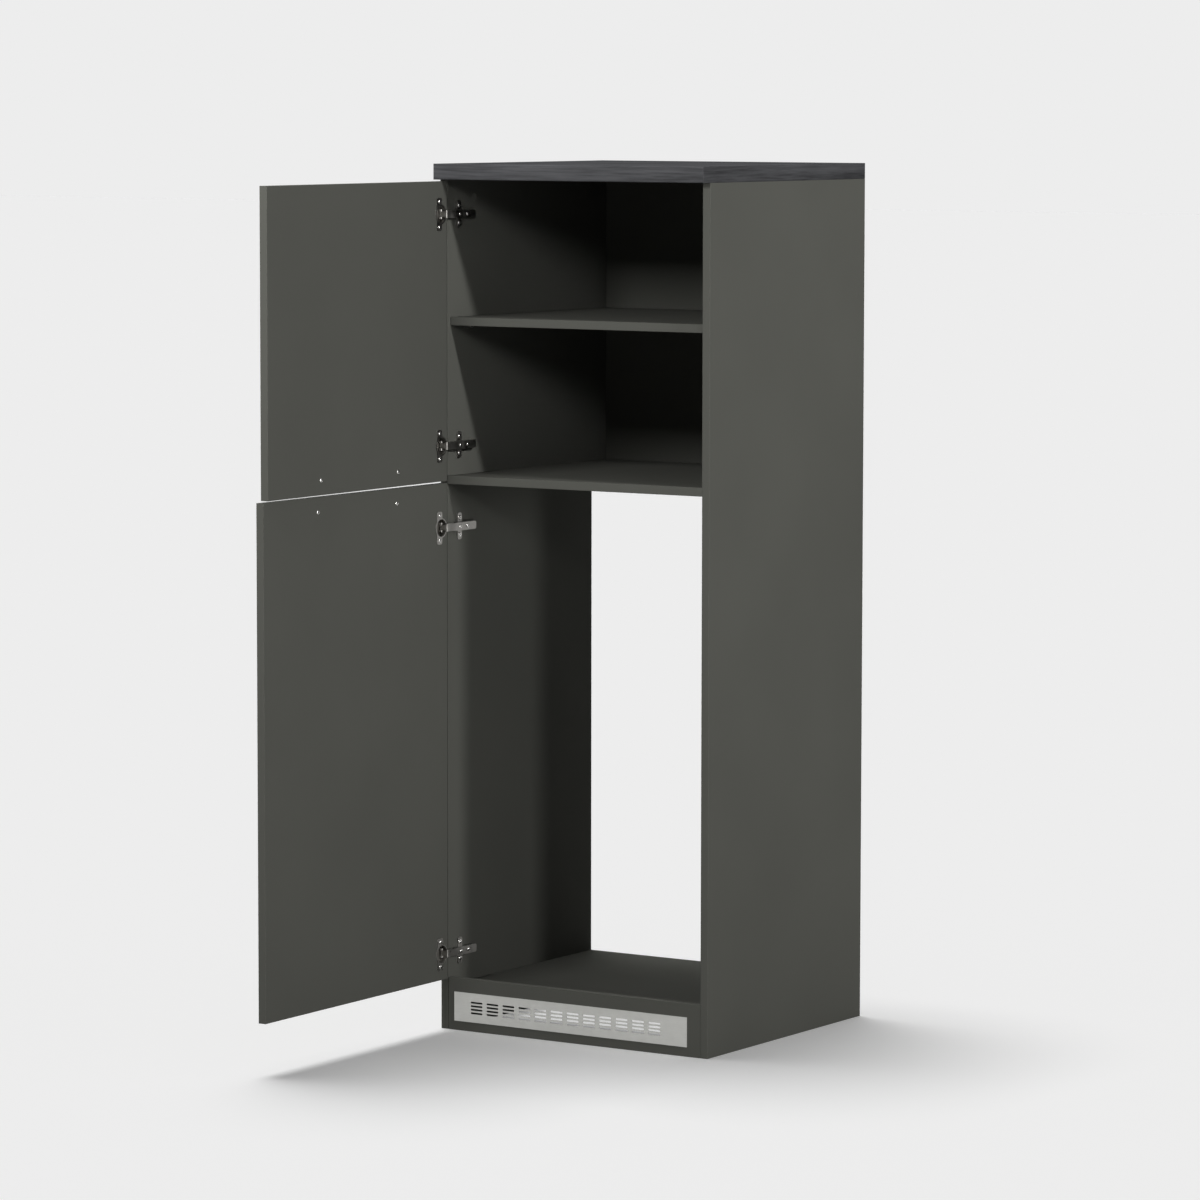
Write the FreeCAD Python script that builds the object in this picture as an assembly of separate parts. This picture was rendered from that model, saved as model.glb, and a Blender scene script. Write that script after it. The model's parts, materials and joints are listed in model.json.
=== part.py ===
import FreeCAD, Part
import os
from FreeCAD import Vector

# Tall fridge housing cabinet, in millimetres.
# +X is right seen from the front, +Y goes to the back, +Z is up.
# The origin is on the floor, in the middle of the carcass front plane.

# Carcass boards
width = 600.0
height = 1650.0
carcass_depth = 560.0
side_thickness = 16.0
top_thickness = 30.0
top_overhang = 24.0
top_edge_radius = 2.5
fixed_shelf_z = 1045.0
fixed_shelf_thickness = 16.0
back_thickness = 3.0
back_inset = 6.0
back_groove_depth = 5.0
floor_z = 70.0
floor_thickness = 16.0
rear_vent_depth = 60.0
plinth_height = 100.0
plinth_thickness = 16.0

# Adjustable shelf and its supports
shelf_z = 1345.0
shelf_thickness = 16.0
shelf_setback = 10.0
shelf_side_gap = 1.0
shelf_rear_gap = 2.0
support_inset = 55.0
support_pin_radius = 2.5
support_pin_depth = 9.0
support_plate_length = 13.0
support_plate_width = 12.0
support_plate_thickness = 2.0

# Doors
door_thickness = 16.0
door_reveal = 2.0
door_gap = 3.4
door_joint_z = 1049.0
door_joint_gap = 4.0
door_top_gap = 3.0
lower_door_bottom_z = 98.0
door_edge_radius = 1.0
upper_door_open_deg = 88.0
lower_door_open_deg = 89.0

# Hinge places, each from the nearest end of its door
upper_hinge_from_top = 62.0
upper_hinge_from_bottom = 67.0
lower_hinge_from_top = 84.0
lower_hinge_from_bottom = 50.0

# Hinge cup, sunk into the door, and its flange
cup_edge_distance = 3.0
cup_radius = 17.5
cup_wall = 1.0
cup_depth = 12.2
flange_thickness = 1.0
flange_rim = 1.2
flange_height = 62.0
flange_width = 18.0
flange_offset = 6.0
flange_corner_radius = 5.0
cup_screw_spacing = 48.0
cup_screw_radius = 1.75
cup_screw_depth = 10.0
cup_screw_head_radius = 3.5
cup_screw_head_height = 1.8

# Pivot pin between the cup and the hinge arm
pivot_from_edge = 7.5
pivot_depth = 8.5
pin_radius = 1.25
pin_clearance = 0.05
pin_end_cover = 0.5
boss_height = 3.7
boss_radius = 3.5
boss_side_clearance = 0.3

# Hinge arm: eye on the pin, bar inside the cup, neck, crank and channel
eye_radius = 2.3
bar_half_height = 5.0
neck_half_height = 7.2
bar_thickness = 3.0
bar_drop = 0.4
neck_from_pivot = 11.2
neck_thickness = 4.0
inner_bend_radius = 1.6
outer_bend_radius = 2.0
crank_start = 2.0
crank_length = 10.0
channel_length = 68.0
channel_wall = 1.5
channel_clearance = 0.2
channel_foot_gap = 0.6
channel_corner_radius = 4.0
arm_slot_length = 11.0
arm_slot_clearance = 0.3

# Mounting plate on the side panel: wings and raised block
plate_line = 37.0
wing_thickness = 2.5
wing_height = 51.0
wing_width = 14.0
wing_corner_radius = 4.5
block_height = 7.0
block_front_reach = 16.0
block_rear_reach = 30.0
block_half_height = 6.0
plate_screw_spacing = 32.0
plate_screw_radius = 2.5
plate_screw_depth = 11.0
plate_screw_head_radius = 4.5
plate_screw_head_height = 1.6
arm_screw_radius = 2.0
arm_screw_depth = 5.0
arm_screw_head_radius = 3.6
arm_screw_head_height = 1.6
fixing_screw_from_line = 15.0
adjusting_screw_from_line = -9.0

# Handles: a round bar on two posts, screwed from inside the door
handle_spacing = 256.0
handle_bar_length = 320.0
handle_bar_radius = 6.0
handle_bar_end_radius = 1.5
handle_stand_off = 32.0
handle_post_radius = 4.5
handle_from_joint = 27.5
handle_screw_radius = 2.0
handle_screw_grip = 10.0
handle_screw_head_radius = 4.0
handle_screw_head_height = 2.2

# Cam connectors and dowels
cam_radius = 7.5
cam_depth = 12.5
cam_reach = 34.0
cam_cap_thickness = 1.2
bolt_radius = 3.5
bolt_thread_radius = 2.5
bolt_thread_depth = 11.0
bolt_cam_overlap = 4.0
dowel_radius = 4.0
dowel_panel_depth = 11.0
dowel_board_depth = 19.0
connector_front_inset = 90.0
connector_rear_inset = 90.0
dowel_from_connector = 48.0
plinth_dowel_inset = 150.0
plinth_end_dowel_z = 46.0

# Back panel screws
back_screw_count = 5
back_screw_end_inset = 60.0
back_screw_radius = 1.5
back_screw_depth = 18.0
back_screw_head_radius = 3.2
back_screw_head_height = 1.6

# Ventilation grille in the plinth
grille_width = 524.0
grille_height = 56.0
grille_thickness = 1.2
grille_offset_x = -7.0
grille_z = 46.0
grille_border = 12.0
grille_collar_wall = 1.2
grille_collar_depth = 12.0
slot_groups = 12
slot_rows = 4
slot_group_pitch = 36.5
slot_row_pitch = 6.8
slot_length = 27.0
slot_width = 3.6
slot_field_offset = -10.0

# Planes that several pieces share
left_inner = -width / 2 + side_thickness
right_inner = width / 2 - side_thickness
top_underside = height - top_thickness
fixed_shelf_top = fixed_shelf_z + fixed_shelf_thickness
back_front = carcass_depth - back_inset - back_thickness
niche_rear = carcass_depth - rear_vent_depth
door_inner = -door_gap
door_outer = -door_gap - door_thickness
door_left = -width / 2 + door_reveal
door_right = width / 2 - door_reveal
upper_door_bottom_z = door_joint_z + door_joint_gap / 2
lower_door_top_z = door_joint_z - door_joint_gap / 2
upper_door_top_z = top_underside - door_top_gap
pivot_x = door_left + pivot_from_edge
pivot_y = door_inner - pivot_depth

AXIS_X = Vector(1, 0, 0)
AXIS_Y = Vector(0, 1, 0)
AXIS_Z = Vector(0, 0, 1)

nodes = {}


def box(x0, x1, y0, y1, z0, z1):
    """Box between two opposite corners."""
    return Part.makeBox(x1 - x0, y1 - y0, z1 - z0, Vector(x0, y0, z0))


def rod(radius, start, direction, length):
    """Round rod from a point, along a direction."""
    return Part.makeCylinder(radius, length, start, direction)


def prism(points, z0, z1):
    """Upright prism on a closed outline of (x, y) points."""
    corners = [Vector(x, y, z0) for x, y in points]
    outline = Part.makePolygon(corners + corners[:1])
    return Part.Face(outline).extrude(Vector(0, 0, z1 - z0))


def slot_cutter(centre, run, through, length, breadth, depth):
    """Slot with round ends: long side along run, cut from the centre point along through."""
    across = through.cross(run) * (breadth / 2)
    half = run * ((length - breadth) / 2)
    tip = run * (length / 2)
    corners = [centre - half - across, centre + half - across, centre + half + across, centre - half + across]
    outline = Part.Wire([
        Part.LineSegment(corners[0], corners[1]).toShape(),
        Part.Arc(corners[1], centre + tip, corners[2]).toShape(),
        Part.LineSegment(corners[2], corners[3]).toShape(),
        Part.Arc(corners[3], centre - tip, corners[0]).toShape(),
    ])
    return Part.Face(outline).extrude(through * depth)


def edges_along(shape, axis):
    """Straight edges of a shape that run along an axis."""
    found = []
    for edge in shape.Edges:
        run = edge.Vertexes[-1].Point - edge.Vertexes[0].Point
        if run.Length > 0 and abs(run.normalize().dot(axis)) > 0.999:
            found.append(edge)
    return found


def edges_on_plane(shape, axis, place):
    """Edges of a shape whose ends all lie on a plane across an axis."""
    found = []
    for edge in shape.Edges:
        if all(abs(vertex.Point.dot(axis) - place) < 1e-6 for vertex in edge.Vertexes):
            found.append(edge)
    return found


def headed_screw(head_point, direction, head_radius, head_height, shank_radius, shank_length):
    """Screw with a flat head; direction points from the head along the shank."""
    head = rod(head_radius, head_point - direction * head_height, direction, head_height)
    return head.fuse(rod(shank_radius, head_point, direction, shank_length)).removeSplitter()


def connector(joint, into_board, towards_face, board_thickness, cover):
    """Cam and connecting bolt of one board joint.

    joint is on the joint face at mid thickness, into_board leads into the board with the cam,
    towards_face leads from mid thickness to the face that the cam is set into,
    and cover is how far below that face the cam stays.
    """
    thread = rod(bolt_thread_radius, joint - into_board * bolt_thread_depth, into_board, bolt_thread_depth)
    shank = rod(bolt_radius, joint, into_board, cam_reach - cam_radius + bolt_cam_overlap)
    bolt = thread.fuse(shank).removeSplitter()
    cam_face = joint + into_board * cam_reach + towards_face * (board_thickness / 2 - cover)
    cam = rod(cam_radius, cam_face, towards_face * -1.0, cam_depth - cover).cut(bolt)
    return cam, bolt


def dowel(joint, into_board):
    """Wooden dowel across a joint face."""
    length = dowel_panel_depth + dowel_board_depth
    return rod(dowel_radius, joint - into_board * dowel_panel_depth, into_board, length)


def add(name, *solids):
    """Keep the solids of one node under its name."""
    nodes[name] = solids[0] if len(solids) == 1 else Part.makeCompound(list(solids))


def swing(names, angle):
    """Turn the nodes of one door about its pivot line, open by an angle."""
    for name in names:
        nodes[name].rotate(Vector(pivot_x, pivot_y, 0), AXIS_Z, -angle)


# Joinery of a board that spans between the side panels
def board_joinery(name, z0, thickness, y_front, y_rear):
    """Cams, bolts and dowels at both ends of a horizontal board, kept as three nodes."""
    mid = z0 + thickness / 2
    cams = []
    bolts = []
    dowels = []
    for side_x, inward in ((left_inner, AXIS_X), (right_inner, AXIS_X * -1.0)):
        for y, step in ((y_front + connector_front_inset, 1), (y_rear - connector_rear_inset, -1)):
            cam, bolt = connector(Vector(side_x, y, mid), inward, AXIS_Z * -1.0, thickness, 0.0)
            cams.append(cam)
            bolts.append(bolt)
            dowels.append(dowel(Vector(side_x, y + step * dowel_from_connector, mid), inward))
    add(name + "_cams", *cams)
    add(name + "_connecting_bolts", *bolts)
    add(name + "_dowels", *dowels)
    return cams + bolts + dowels


floor_joinery = board_joinery("floor_panel", floor_z, floor_thickness, plinth_thickness, niche_rear)
shelf_joinery = board_joinery("fixed_shelf", fixed_shelf_z, fixed_shelf_thickness, 0.0, back_front)

# Joinery of the top board on the upper edges of the side panels, with caps over the cams
top_cams = []
top_caps = []
top_bolts = []
top_dowels = []
for panel_mid, inward in ((left_inner - side_thickness / 2, AXIS_X),
                          (right_inner + side_thickness / 2, AXIS_X * -1.0)):
    for y, step in ((connector_front_inset, 1), (carcass_depth - connector_rear_inset, -1)):
        joint = Vector(panel_mid, y, top_underside)
        cam, bolt = connector(joint, AXIS_Z * -1.0, inward, side_thickness, cam_cap_thickness)
        cap_face = joint - AXIS_Z * cam_reach + inward * (side_thickness / 2)
        top_cams.append(cam)
        top_caps.append(rod(cam_radius, cap_face, inward * -1.0, cam_cap_thickness))
        top_bolts.append(bolt)
        top_dowels.append(dowel(Vector(panel_mid, y + step * dowel_from_connector, top_underside),
                                AXIS_Z * -1.0))
add("top_board_cams", *top_cams)
add("top_board_cam_caps", *top_caps)
add("top_board_connecting_bolts", *top_bolts)
add("top_board_dowels", *top_dowels)
top_joinery = top_cams + top_caps + top_bolts + top_dowels

# Dowels that hold the plinth board to the floor panel and to the side panels
plinth_dowels = []
for x in (left_inner + plinth_dowel_inset, 0.0, right_inner - plinth_dowel_inset):
    plinth_dowels.append(dowel(Vector(x, plinth_thickness, floor_z + floor_thickness / 2), AXIS_Y))
for side_x, inward in ((left_inner, AXIS_X), (right_inner, AXIS_X * -1.0)):
    plinth_dowels.append(dowel(Vector(side_x, plinth_thickness / 2, plinth_end_dowel_z), inward))
add("plinth_dowels", *plinth_dowels)

# Upper back panel in the side panels' grooves, screwed to the fixed shelf
back_panel = box(left_inner - back_groove_depth, right_inner + back_groove_depth,
                 back_front, back_front + back_thickness, fixed_shelf_z, top_underside)
back_screws = []
for i in range(back_screw_count):
    first = left_inner + back_screw_end_inset
    step = (right_inner - left_inner - 2 * back_screw_end_inset) / (back_screw_count - 1)
    head = Vector(first + i * step, back_front + back_thickness, fixed_shelf_z + fixed_shelf_thickness / 2)
    back_screws.append(headed_screw(head, AXIS_Y * -1.0, back_screw_head_radius, back_screw_head_height,
                                    back_screw_radius, back_screw_depth))
add("upper_back_panel", back_panel.cut(back_screws))
add("back_panel_screws", *back_screws)

# Shelf supports: a pin in the side panel with a flat plate under the shelf
supports = []
shelf_front = shelf_setback
shelf_rear = back_front - shelf_rear_gap
for side_x, inward in ((left_inner, AXIS_X), (right_inner, AXIS_X * -1.0)):
    for y in (shelf_front + support_inset, shelf_rear - support_inset):
        axis_z = shelf_z - support_plate_thickness - support_pin_radius
        pin = rod(support_pin_radius, Vector(side_x, y, axis_z) - inward * support_pin_depth, inward,
                  support_pin_depth + support_plate_length)
        x_end = side_x + inward.x * support_plate_length
        plate = box(min(side_x, x_end), max(side_x, x_end), y - support_plate_width / 2,
                    y + support_plate_width / 2, axis_z, shelf_z)
        supports.append(pin.fuse(plate).removeSplitter())
add("shelf_supports", *supports)
add("adjustable_shelf", box(left_inner + shelf_side_gap, right_inner - shelf_side_gap, shelf_front,
                            shelf_rear, shelf_z, shelf_z + shelf_thickness))


def hinge_nose(z):
    """Front of the hinge arm: a bar inside the cup, then a wider neck, cranked over to the channel's web."""
    bar_low = pivot_y - bar_thickness / 2 - bar_drop
    bar_high = bar_low + bar_thickness
    neck_left = pivot_x + neck_from_pivot
    neck_right = neck_left + neck_thickness
    web_in = left_inner + wing_thickness + block_height
    web_out = web_in + channel_wall
    crank_end = crank_start + crank_length
    outline = [(neck_left, bar_low), (neck_right, bar_low), (neck_right, crank_start), (web_out, crank_end),
               (web_out, crank_end + channel_wall), (web_in, crank_end + channel_wall),
               (neck_left, crank_start + neck_thickness)]
    neck = prism(outline, z - neck_half_height, z + neck_half_height)
    heel = [edge for edge in edges_along(neck, AXIS_Z)
            if edge.Vertexes[0].Point.x > neck_left and edge.Vertexes[0].Point.y < bar_high]
    neck = neck.makeFillet(outer_bend_radius, heel)
    bar = box(pivot_x, neck_right - outer_bend_radius, bar_low, bar_high,
              z - bar_half_height, z + bar_half_height)
    nose = bar.fuse(neck).removeSplitter()
    bend = [edge for edge in edges_along(nose, AXIS_Z)
            if abs(edge.Vertexes[0].Point.x - neck_left) < 1e-6
            and abs(edge.Vertexes[0].Point.y - bar_high) < 1e-6]
    return nose.makeFillet(inner_bend_radius, bend)


def hinge(prefix, z):
    """One cup hinge in the closed position; returns what it cuts from the door and the side panel."""
    # Cup with flange, and the bosses that hold the pin
    cup_x = door_left + cup_edge_distance + cup_radius
    centre = Vector(cup_x, door_inner, z)
    into_door = AXIS_Y * -1.0
    bore = rod(cup_radius, centre, into_door, cup_depth)
    hollow = rod(cup_radius - cup_wall, centre + AXIS_Y * flange_thickness, into_door,
                 cup_depth - cup_wall + flange_thickness)
    rim = rod(cup_radius + flange_rim, centre, AXIS_Y, flange_thickness)
    ears = box(cup_x + flange_offset - flange_width / 2, cup_x + flange_offset + flange_width / 2,
               door_inner, door_inner + flange_thickness, z - flange_height / 2, z + flange_height / 2)
    ears = ears.makeFillet(flange_corner_radius, edges_along(ears, AXIS_Y))
    bosses = []
    boss_start = bar_half_height + boss_side_clearance
    for side in (-1, 1):
        low = z + side * boss_start
        high = z + side * (boss_start + boss_height)
        foot = box(door_left, pivot_x, door_inner - cup_depth, pivot_y + boss_radius,
                   min(low, high), max(low, high))
        knuckle = rod(boss_radius, Vector(pivot_x, pivot_y, low), AXIS_Z * side, boss_height)
        bosses.append(foot.fuse(knuckle).common(bore))
    pin_half = boss_start + boss_height - pin_end_cover
    pin = rod(pin_radius, Vector(pivot_x, pivot_y, z - pin_half), AXIS_Z, 2 * pin_half)
    cup = bore.fuse([rim, ears]).cut(hollow).fuse(bosses).cut(pin).removeSplitter()
    cup_screws = []
    for side in (-1, 1):
        head = Vector(cup_x + flange_offset, door_inner + flange_thickness, z + side * cup_screw_spacing / 2)
        cup_screws.append(headed_screw(head, into_door, cup_screw_head_radius, cup_screw_head_height,
                                       cup_screw_radius, flange_thickness + cup_screw_depth))
    add(prefix + "_cup", cup.cut(cup_screws))
    add(prefix + "_pin", pin)
    add(prefix + "_cup_screws", *cup_screws)

    # Mounting plate
    wing_face = left_inner + wing_thickness
    block_face = wing_face + block_height
    wings = box(left_inner, wing_face, plate_line - wing_width / 2, plate_line + wing_width / 2,
                z - wing_height / 2, z + wing_height / 2)
    wings = wings.makeFillet(wing_corner_radius, edges_along(wings, AXIS_X))
    block = box(wing_face, block_face, plate_line - block_front_reach, plate_line + block_rear_reach,
                z - block_half_height, z + block_half_height)
    plate = wings.fuse(block).removeSplitter()
    plate_screws = []
    for side in (-1, 1):
        head = Vector(wing_face, plate_line, z + side * plate_screw_spacing / 2)
        plate_screws.append(headed_screw(head, AXIS_X * -1.0, plate_screw_head_radius,
                                         plate_screw_head_height, plate_screw_radius,
                                         wing_thickness + plate_screw_depth))

    # Hinge arm: eye, cranked nose and the channel that straddles the block
    eye_foot = Vector(pivot_x, pivot_y, z - bar_half_height)
    eye = rod(eye_radius, eye_foot, AXIS_Z, 2 * bar_half_height)
    hole = rod(pin_radius + pin_clearance, eye_foot, AXIS_Z, 2 * bar_half_height)
    channel_front = crank_start + crank_length
    channel_half = block_half_height + channel_clearance + channel_wall
    web = box(block_face, block_face + channel_wall, channel_front, channel_front + channel_length,
              z - channel_half, z + channel_half)
    web = web.makeFillet(channel_corner_radius, edges_along(web, AXIS_X))
    cheeks = []
    for side in (-1, 1):
        near = z + side * (channel_half - channel_wall)
        far = z + side * channel_half
        cheeks.append(box(wing_face + channel_foot_gap, block_face,
                          channel_front + channel_corner_radius,
                          channel_front + channel_length - channel_corner_radius,
                          min(near, far), max(near, far)))
    arm_screws = []
    for offset in (fixing_screw_from_line, adjusting_screw_from_line):
        head = Vector(block_face + channel_wall, plate_line + offset, z)
        arm_screws.append(headed_screw(head, AXIS_X * -1.0, arm_screw_head_radius, arm_screw_head_height,
                                       arm_screw_radius, channel_wall + arm_screw_depth))
    slot_centre = Vector(block_face, plate_line + fixing_screw_from_line, z)
    slot = slot_cutter(slot_centre, AXIS_Y, AXIS_X, arm_slot_length,
                       2 * (arm_screw_radius + arm_slot_clearance), channel_wall)
    arm = eye.fuse([hinge_nose(z), web] + cheeks).cut([hole, slot] + arm_screws).removeSplitter()
    add(prefix + "_arm", arm)
    add(prefix + "_mounting_plate", plate.cut(plate_screws + arm_screws))
    add(prefix + "_plate_screws", *plate_screws)
    add(prefix + "_arm_screws", *arm_screws)
    return [bore] + cup_screws, plate_screws


def handle(prefix, z):
    """Bar handle with its two screws, closed position; returns the screws."""
    bar_y = door_outer - handle_stand_off
    bar = rod(handle_bar_radius, Vector(-handle_bar_length / 2, bar_y, z), AXIS_X, handle_bar_length)
    ends = [edge for edge in bar.Edges if len(edge.Vertexes) == 1]
    bar = bar.makeFillet(handle_bar_end_radius, ends)
    posts = []
    screws = []
    for x in (-handle_spacing / 2, handle_spacing / 2):
        posts.append(rod(handle_post_radius, Vector(x, bar_y, z), AXIS_Y, handle_stand_off))
        head = Vector(x, door_inner, z)
        screws.append(headed_screw(head, AXIS_Y * -1.0, handle_screw_head_radius, handle_screw_head_height,
                                   handle_screw_radius, door_thickness + handle_screw_grip))
    add(prefix + "_handle", bar.fuse(posts).cut(screws).removeSplitter())
    add(prefix + "_handle_screws", *screws)
    return screws


def door(name, z0, z1, hinges, handle_z, angle):
    """A door with its hinges and handle, built closed and then swung open by the angle.

    Returns the plate screws, which the side panel is drilled for.
    """
    slab = box(door_left, door_right, door_outer, door_inner, z0, z1)
    slab = slab.makeFillet(door_edge_radius, edges_on_plane(slab, AXIS_Y, door_outer))
    panel_cuts = []
    door_cuts = handle(name, handle_z)
    moving = [name, name + "_handle", name + "_handle_screws"]
    for place, z in hinges:
        prefix = name + "_" + place + "_hinge"
        cuts, plate_screws = hinge(prefix, z)
        door_cuts = door_cuts + cuts
        panel_cuts = panel_cuts + plate_screws
        moving = moving + [prefix + "_cup", prefix + "_pin", prefix + "_cup_screws"]
    add(name, slab.cut(door_cuts))
    swing(moving, angle)
    return panel_cuts


upper_cuts = door("upper_door", upper_door_bottom_z, upper_door_top_z,
                  (("top", upper_door_top_z - upper_hinge_from_top),
                   ("bottom", upper_door_bottom_z + upper_hinge_from_bottom)),
                  upper_door_bottom_z + handle_from_joint, upper_door_open_deg)
lower_cuts = door("lower_door", lower_door_bottom_z, lower_door_top_z,
                  (("top", lower_door_top_z - lower_hinge_from_top),
                   ("bottom", lower_door_bottom_z + lower_hinge_from_bottom)),
                  lower_door_top_z - handle_from_joint, lower_door_open_deg)

# Side panels; the left one is notched behind the niche
joinery = floor_joinery + shelf_joinery + top_joinery + plinth_dowels
left_panel = box(-width / 2, left_inner, 0.0, carcass_depth, 0.0, top_underside)
rear_notch = box(-width / 2, left_inner, niche_rear, carcass_depth, 0.0, fixed_shelf_z)
right_panel = box(right_inner, width / 2, 0.0, carcass_depth, 0.0, top_underside)
add("left_side_panel", left_panel.cut([rear_notch, back_panel] + supports + joinery + upper_cuts + lower_cuts))
add("right_side_panel", right_panel.cut([back_panel] + supports + joinery))

# Horizontal boards
top_slab = box(-width / 2, width / 2, -top_overhang, carcass_depth, top_underside, height)
top_front = edges_on_plane(top_slab, AXIS_Y, -top_overhang)
top_slab = top_slab.makeFillet(top_edge_radius, top_front)
add("top_board", top_slab.cut(top_joinery))
fixed_slab = box(left_inner, right_inner, 0.0, back_front, fixed_shelf_z, fixed_shelf_top)
add("fixed_shelf", fixed_slab.cut(shelf_joinery + back_screws))
floor_slab = box(left_inner, right_inner, plinth_thickness, niche_rear, floor_z, floor_z + floor_thickness)
add("floor_panel", floor_slab.cut(floor_joinery + plinth_dowels))

# Plinth board with the grille's opening
grille_left = grille_offset_x - grille_width / 2
grille_right = grille_offset_x + grille_width / 2
grille_bottom = grille_z - grille_height / 2
grille_top = grille_z + grille_height / 2
opening = box(grille_left + grille_border, grille_right - grille_border, 0.0, plinth_thickness,
              grille_bottom + grille_border, grille_top - grille_border)
plinth_slab = box(left_inner, right_inner, 0.0, plinth_thickness, 0.0, plinth_height)
add("plinth_board", plinth_slab.cut([opening] + plinth_dowels))

# Grille: a thin plate in front of the plinth, with slots and a collar that seats in the opening
face_plate = box(grille_left, grille_right, -grille_thickness, 0.0, grille_bottom, grille_top)
collar = box(grille_left + grille_border, grille_right - grille_border, 0.0, grille_collar_depth,
             grille_bottom + grille_border, grille_top - grille_border)
collar_wall = grille_border + grille_collar_wall
collar = collar.cut(box(grille_left + collar_wall, grille_right - collar_wall, 0.0, grille_collar_depth,
                        grille_bottom + collar_wall, grille_top - collar_wall))
slots = []
for group in range(slot_groups):
    for row in range(slot_rows):
        x = grille_offset_x + slot_field_offset + (group - (slot_groups - 1) / 2) * slot_group_pitch
        z = grille_z + (row - (slot_rows - 1) / 2) * slot_row_pitch
        slots.append(slot_cutter(Vector(x, -grille_thickness, z), AXIS_X, AXIS_Y, slot_length, slot_width,
                                 grille_thickness))
add("ventilation_grille", face_plate.fuse(collar).cut(slots).removeSplitter())

# One file per node
os.makedirs("parts", exist_ok=True)
for name, shape in nodes.items():
    shape.exportStep(os.path.join("parts", name + ".step"))
print(len(nodes), "nodes,", sum(len(shape.Solids) for shape in nodes.values()), "solids")
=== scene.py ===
# %% [markdown]
# A tall fridge housing cabinet, dressed for a photograph
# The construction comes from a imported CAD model: boards, doors, hinges, grille and fasteners, each
# a node with its real size and place. This lesson keeps every node where it is and gives it the
# finish, the softened edges and the small fastener detail that the eye expects. Everything is in
# metres: +X is right, +Y goes back and +Z is up.

# %% Load the frame
import json
import math

import bmesh
import bpy
from mathutils import Matrix, Vector


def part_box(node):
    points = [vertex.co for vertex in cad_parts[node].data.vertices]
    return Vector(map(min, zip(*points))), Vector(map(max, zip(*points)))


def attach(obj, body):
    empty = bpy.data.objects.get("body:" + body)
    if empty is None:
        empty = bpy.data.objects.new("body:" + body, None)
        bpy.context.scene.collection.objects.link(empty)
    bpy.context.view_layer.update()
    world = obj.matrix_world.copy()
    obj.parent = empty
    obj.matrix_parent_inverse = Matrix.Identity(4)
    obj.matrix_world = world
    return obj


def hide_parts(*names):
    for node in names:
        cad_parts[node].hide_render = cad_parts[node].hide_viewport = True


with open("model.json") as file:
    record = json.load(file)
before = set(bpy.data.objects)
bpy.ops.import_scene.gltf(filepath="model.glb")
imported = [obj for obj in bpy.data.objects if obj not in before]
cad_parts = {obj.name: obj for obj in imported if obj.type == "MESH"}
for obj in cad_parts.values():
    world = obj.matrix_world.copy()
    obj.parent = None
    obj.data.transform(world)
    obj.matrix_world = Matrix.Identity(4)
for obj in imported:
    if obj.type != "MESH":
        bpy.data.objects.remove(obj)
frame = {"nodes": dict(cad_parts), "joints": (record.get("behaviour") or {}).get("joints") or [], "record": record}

scene = bpy.context.scene
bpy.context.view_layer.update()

# %% [markdown]
# The camera
# The photograph was taken with a long lens from the right, from a little above the cabinet's top. A
# camera could be placed by eye, but straight boards show every error, so the place, the direction
# and the lens here come from fitting the cabinet's own edges. The direction is given as angles, from
# which the three camera axes follow.

# %% Camera
camera_place = Vector((5.49385, -8.34675, 1.79555))
camera_azimuth = math.radians(33.06)
camera_drop = math.radians(5.466)
camera_roll = math.radians(0.0814)
camera_lens = 161.1
sensor_width = 36.0
far_limit = 200.0
axis_z = Vector((0, 0, 1))

forward = Vector((
    -math.sin(camera_azimuth) * math.cos(camera_drop),
    math.cos(camera_azimuth) * math.cos(camera_drop),
    -math.sin(camera_drop),
))
level_right = forward.cross(axis_z).normalized()
level_up = level_right.cross(forward)
camera_right = level_right * math.cos(camera_roll) + level_up * math.sin(camera_roll)
camera_up = level_up * math.cos(camera_roll) - level_right * math.sin(camera_roll)
camera_turn = Matrix((camera_right, camera_up, -forward)).transposed().to_4x4()

camera_data = bpy.data.cameras.new("photo_camera")
camera_data.lens = camera_lens
camera_data.sensor_width = sensor_width
camera_data.clip_end = far_limit
camera = bpy.data.objects.new("photo_camera", camera_data)
camera.matrix_world = Matrix.Translation(camera_place) @ camera_turn
scene.collection.objects.link(camera)
scene.camera = camera
print("camera at", tuple(round(v, 2) for v in camera_place), "with a lens of", camera_lens, "mm")

# %% [markdown]
# World
# A product photograph like this has one pale tone all round. A curved backdrop would give it, but a
# plain world is enough: it shows the pale tone to the camera, in reflections and through glass, and
# gives the boards only a weak light from all sides. Light Path tells the two apart, so the
# background can be bright without bleaching the boards. Such a chain of nodes could be wired by hand,
# but helpers that add one node and hand back its result are easier to read.


# %% Node helpers
def feed(tree, socket, value):
    """Link an input to another node's output, or set it to a plain value."""
    if isinstance(value, bpy.types.NodeSocket):
        tree.links.new(value, socket)
    else:
        socket.default_value = value


def add_math(tree, operation, first, second):
    """A math node on two sockets or numbers; returns the result socket."""
    step = tree.nodes.new("ShaderNodeMath")
    step.operation = operation
    feed(tree, step.inputs[0], first)
    feed(tree, step.inputs[1], second)
    return step.outputs[0]


def add_range(tree, value, to_low, to_high, from_low=0.0, from_high=1.0):
    """A value moved from one range to another; returns the result socket."""
    step = tree.nodes.new("ShaderNodeMapRange")
    step.inputs["From Min"].default_value = from_low
    step.inputs["From Max"].default_value = from_high
    step.inputs["To Min"].default_value = to_low
    step.inputs["To Max"].default_value = to_high
    tree.links.new(value, step.inputs["Value"])
    return step.outputs["Result"]


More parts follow.
